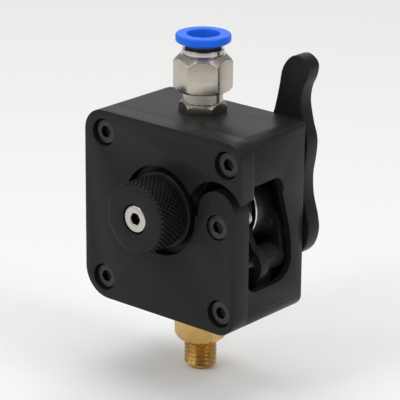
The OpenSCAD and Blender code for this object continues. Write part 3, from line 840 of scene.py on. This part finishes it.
@dataclass
class HandKnob(Part):
    """The knurled knob, its screw and the pinion on its shaft."""

    body: str = "hand_knob"
    rim: float = 0.00045
    relief: float = 0.0005
    diamonds: int = 44
    row_pitch: float = 0.0007
    groove: float = 0.0006
    flange_step: float = 0.0005
    flange_depth: float = 0.0018
    seat_radius: float = 0.0034
    seat_depth: float = 0.0022
    bore: float = 0.002
    key: float = 0.0015
    key_from: float = 0.0003
    eased: list[Eased] = field(
        default_factory=lambda: [Eased("knob_screw", "polished_steel", SCREW_STEEL, 0.00028, 3)]
    )
    plain: dict[str, Finish] = field(default_factory=lambda: {"knob_shaft": STEEL, "knob_pinion": BRONZE})

    def build(self) -> dict[str, bpy.types.Object]:
        """Turns the grip, knurls it, eases the screw and paints shade into the screw's socket."""
        made = super().build()
        low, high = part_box("knob")
        axis = (low + high) / 2
        flange = (high.x - low.x) / 2
        front, back = low.y, high.y
        grip = flange - self.flange_step
        step = back - self.flange_depth
        core = grip - self.relief
        blank = revolved("knob_turned", self._outline(core, flange, front, back, step), axis)
        bevelled(blank, 0.0001, 2)
        knurl = self._knurl(axis, core, front + self.rim, step - self.groove)
        self._chamfer(knurl, axis, grip, front)
        bevelled(knurl, 0.00006, 1, 18)
        turned = smooth(joined("knob_knurled", [blank, knurl]), 25)
        dress(turned, self.body, KNOB_BLACK, ("knob",))
        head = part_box("knob_screw")[0].y
        # painted shade: the faces inside the screw's hex socket take a near-black finish that stands for the
        # shade in it
        touch_up(
            made["knob_screw"],
            SOCKET_PAINTED_SHADE,
            lambda at: math.hypot(at.x - axis.x, at.z - axis.z) < self.key and at.y > head + self.key_from,
        )
        return made

    def _outline(
        self, core: float, flange: float, front: float, back: float, step: float
    ) -> list[tuple[float, float]]:
        """Returns the knob's half section.

        Args:
            core: radius under the knurl.
            flange: radius of the rear flange.
            front: the front face.
            back: the rear face.
            step: where the flange begins.
        """
        floor = front + self.seat_depth
        return [
            (self.bore, floor),
            (self.seat_radius, floor),
            (self.seat_radius, front + 0.0001),
            (self.seat_radius + 0.0001, front),
            (core - 0.0001, front),
            (core, front + 0.0001),
            (core, step - self.groove),
            (core - 0.0001, step),
            (flange - 0.00025, step),
            (flange, step + 0.00025),
            (flange, back - 0.0002),
            (flange - 0.0002, back),
            (self.bore, back),
        ]

    def _knurl(self, axis: Vector, core: float, start: float, end: float) -> bpy.types.Object:
        """Grows the diamonds in staggered rows round the grip.

        Args:
            axis: a point on the knob's axis.
            core: radius that the diamonds stand on.
            start: the middle of the first row.
            end: where the last row ends.

        Returns:
            The diamonds as one mesh.
        """
        half_width = math.pi * core / self.diamonds
        rows = round((end - start) / self.row_pitch)
        half_length = (end - start) / rows
        tree = Grown("knob_knurl")
        around = tree.size("Diamonds round the knob", self.diamonds)
        count = tree.size("Rows", rows)
        radius = tree.size("Core radius", core - 0.00003)
        pitch = tree.size("Row pitch", half_length)
        index = Value(tree, tree.node("GeometryNodeInputIndex").outputs[0])
        row = index.math("FLOOR", index / around)
        turn = (index % around + (row % 2.0) * 0.5) / around * (2 * math.pi)
        x, z = turn.math("COSINE", turn), turn.math("SINE", turn)
        points = tree.node(
            "GeometryNodePoints",
            sockets={
                "Count": around * count,
                "Position": tree.vector(x * radius, row * pitch, z * radius),
            },
        )
        diamond = tree.node(
            "GeometryNodeMeshCone",
            {"fill_type": "NGON"},
            {"Vertices": 4, "Radius Top": tree.size("Flat top", 0.55), "Radius Bottom": 1.0, "Depth": 1.0},
        )
        facing = tree.node(
            "FunctionNodeAxesToRotation",
            {"primary_axis": "Z", "secondary_axis": "X"},
            {"Primary Axis": tree.vector(x, 0.0, z), "Secondary Axis": (0.0, 1.0, 0.0)},
        )
        spread = tree.node(
            "GeometryNodeInstanceOnPoints",
            sockets={
                "Points": points.outputs[0],
                "Instance": diamond.outputs[0],
                "Rotation": facing.outputs[0],
                "Scale": tree.vector(
                    pitch, tree.size("Half width", half_width), tree.size("Relief", self.relief)
                ),
            },
        )
        place = Matrix.Translation((axis.x, start, axis.z))
        return tree.mesh_object(spread.outputs[0], KNOB_BLACK, place)

    def _chamfer(self, knurl: bpy.types.Object, axis: Vector, grip: float, front: float) -> None:
        """Turns the front row of diamonds down to the rim's chamfer.

        Args:
            knurl: the diamonds.
            axis: a point on the knob's axis.
            grip: radius over the knurl.
            front: the knob's front face.
        """
        for corner in knurl.data.vertices:
            place = corner.co
            place.y = max(place.y, front + 0.00002)
            out = Vector((place.x - axis.x, place.z - axis.z))
            most = min(grip, grip - self.rim + place.y - front)
            if out.length > most:
                out *= most / out.length
                place.x, place.z = axis.x + out.x, axis.z + out.y


@dataclass
class DriveTrain(Part):
    """The shaft that the motor turns, with its gear, its hobbed gear and the bearings' inner rings."""

    body: str = "drive"
    plain: dict[str, Finish] = field(
        default_factory=lambda: {
            "drive_shaft": STEEL,
            "drive_gear": STEEL,
            "hob_gear": HOB_STEEL,
            "hob_set_screw": SCREW_BLACK,
            "front_bearing_inner": BEARING_STEEL,
            "rear_bearing_inner": BEARING_STEEL,
            "front_bearing_balls": POLISHED_STEEL,
            "rear_bearing_balls": POLISHED_STEEL,
        }
    )


@dataclass
class IdlerArm(Part):
    """The sprung arm and the axle that it carries."""

    body: str = "arm"
    eased: list[Eased] = field(
        default_factory=lambda: [
            Eased("idler_arm", "anodised_arm", ARM_BLACK, 0.0003, 3),
            Eased("idler_axle", "polished_steel", POLISHED_STEEL, 0.00025, 3),
            Eased("idler_inner_ring", "bearing_steel", BEARING_STEEL, 0.00015, 2),
        ]
    )
    plain: dict[str, Finish] = field(default_factory=lambda: {"arm_bush": DARK_BUSH, "idler_washers": STEEL})


@dataclass
class IdlerWheel(Part):
    """The idler bearing's outer ring, its shields, its balls and their cage."""

    body: str = "idler_wheel"
    eased: list[Eased] = field(
        default_factory=lambda: [
            # painted shade: the steel outer ring is shown black for the shade on it inside the window; only
            # its eased edges keep bearing steel
            Eased("idler_outer_ring", "bearing_steel", WHEEL_PAINTED_SHADE, 0.0003, 3, BEARING_STEEL)
        ]
    )
    plain: dict[str, Finish] = field(
        default_factory=lambda: {"idler_shields": STEEL, "idler_balls": POLISHED_STEEL, "idler_cage": BRONZE}
    )


@dataclass
class ReleaseLever(Part):
    """The wavy lever on the back, its screw and washer, and the cam that it turns."""

    body: str = "lever"
    eased: list[Eased] = field(
        default_factory=lambda: [
            Eased("release_lever", "anodised_lever", LEVER_BLACK, 0.00035, 4),
            Eased("lever_screw", "black_steel", SCREW_BLACK, 0.00022, 3),
            Eased("lever_washer", "steel", STEEL, 0.0001, 2),
        ]
    )
    plain: dict[str, Finish] = field(default_factory=lambda: {"cam_shaft": STEEL})


# ---- studio ----


@dataclass
class Lamp:
    """A soft rectangular lamp that faces the object, or the floor some way off it."""

    name: str
    azimuth: float
    elevation: float
    distance: float
    width: float
    height: float
    power: float
    reach: float = 0.0

    def build(self, aim: Vector, floor: float) -> None:
        """Hangs the lamp and turns it to what it lights.

        Args:
            aim: the middle of the object.
            floor: the floor's height.
        """
        lamp = bpy.data.lights.new(self.name, "AREA")
        lamp.shape = "RECTANGLE"
        lamp.size = self.width
        lamp.size_y = self.height
        lamp.energy = self.power
        hung = bpy.data.objects.new(self.name, lamp)
        bpy.context.scene.collection.objects.link(hung)
        lit = aim.copy()
        if self.reach:
            lit = aim + direction(self.azimuth, 0.0) * self.reach
            lit.z = floor
        away = direction(self.azimuth, self.elevation)
        hung.location = lit + away * self.distance
        hung.rotation_euler = away.to_track_quat("Z", "Y").to_euler()


def direction(azimuth: float, elevation: float) -> Vector:
    """Returns the unit vector towards an azimuth from the front and an elevation, in degrees."""
    around, up = math.radians(azimuth), math.radians(elevation)
    return Vector((math.sin(around) * math.cos(up), -math.cos(around) * math.cos(up), math.sin(up)))


@dataclass
class Studio:
    """A pale floor, soft lamps and the camera."""

    azimuth: float = 40.28
    elevation: float = 19.27
    roll: float = 0.51
    distance: float = 0.50242
    lens: float = 198.63
    sensor: float = 36.0
    aim: Vector = field(default_factory=lambda: Vector((0.0064, -0.0126, -0.0033)))
    to_right: float = 0.001785
    to_top: float = 0.002281
    floor_size: float = 6.0
    floor_colour: Colour = (0.84, 0.84, 0.83)
    sky: float = 0.34
    lamps: list[Lamp] = field(
        default_factory=lambda: [
            Lamp("lamp_top", 215.0, 72.0, 0.9, 0.9, 0.7, 4.4),
            Lamp("lamp_back", 220.0, 24.0, 1.4, 1.2, 0.5, 2.2),
            Lamp("lamp_key", -50.0, 32.0, 1.2, 0.3, 0.3, 1.6),
            Lamp("strip_left", -12.0, 42.0, 0.7, 0.07, 0.6, 0.28),
            Lamp("strip_right", 97.0, 42.0, 0.7, 0.07, 0.6, 0.28),
            Lamp("pool_left", -14.0, 72.0, 0.32, 0.14, 0.2, 0.5, 0.24),
            Lamp("pool_right", 98.0, 72.0, 0.32, 0.14, 0.2, 0.5, 0.24),
        ]
    )

    def build(self) -> None:
        """Sets up the floor, the sky, the lamps and the camera."""
        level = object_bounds()[0].z
        self._floor(level)
        self._sky()
        for lamp in self.lamps:
            lamp.build(self.aim, level)
        self._camera()

    def _floor(self, level: float) -> None:
        """Lays the floor at a height."""
        half = self.floor_size / 2
        corners = [(x * half, y * half, level) for x, y in ((-1, -1), (1, -1), (1, 1), (-1, 1))]
        mesh = bpy.data.meshes.new("floor")
        mesh.from_pydata(corners, [], [(0, 1, 2, 3)])
        floor = link("floor", mesh)
        paint = Paint("floor_paper")
        fibre = paint.noise(0.002, detail=3.0)
        low, high = shaded(self.floor_colour, 0.99), shaded(self.floor_colour, 1.01)
        paint.feed(Base_Color=paint.blend(fibre, low, high), Roughness=0.75, Specular_IOR_Level=0.2)
        mesh.materials.append(paint.material)
        floor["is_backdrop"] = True

    def _sky(self) -> None:
        """Fills the room with even light."""
        world = bpy.data.worlds.new("studio")
        world.use_nodes = True
        back = world.node_tree.nodes["Background"]
        back.inputs["Color"].default_value = (1.0, 1.0, 1.0, 1.0)
        back.inputs["Strength"].default_value = self.sky
        bpy.context.scene.world = world

    def _camera(self) -> None:
        """Sets up the camera."""
        back = direction(self.azimuth, self.elevation)
        around = math.radians(self.azimuth)
        level = Vector((math.cos(around), math.sin(around), 0.0))
        upright = back.cross(level)
        lean = math.radians(self.roll)
        right = level * math.cos(lean) + upright * math.sin(lean)
        top = upright * math.cos(lean) - level * math.sin(lean)
        lens = bpy.data.cameras.new("camera")
        lens.lens = self.lens
        lens.sensor_width = self.sensor
        lens.clip_start = 0.01
        lens.clip_end = 30.0
        camera = bpy.data.objects.new("camera", lens)
        spot = self.aim + back * self.distance + right * self.to_right + top * self.to_top
        turned = Matrix((right, top, back)).transposed().to_4x4()
        camera.matrix_world = Matrix.Translation(spot) @ turned
        bpy.context.scene.collection.objects.link(camera)
        bpy.context.scene.camera = camera


def main() -> None:
    """Builds the extruder's looks piece by piece."""
    logging.basicConfig(level=logging.INFO, format="%(name)s: %(message)s")
    bpy.context.scene.view_settings.view_transform = "Standard"
    for part in (
        Housing(),
        TubeFitting(),
        ReleaseCollet(),
        HandKnob(),
        DriveTrain(),
        IdlerArm(),
        IdlerWheel(),
        ReleaseLever(),
    ):
        part.build()
        part.dress()
        log.info("%s: %d eased, %d repainted", type(part).__name__, len(part.eased), len(part.plain))
    log.info("%s", ArmSpring().build().name)
    outlet = OutletFitting()
    log.info("%s", outlet.build().name)
    outlet.dress()
    Studio().build()


if __name__ == "__main__":
    main()
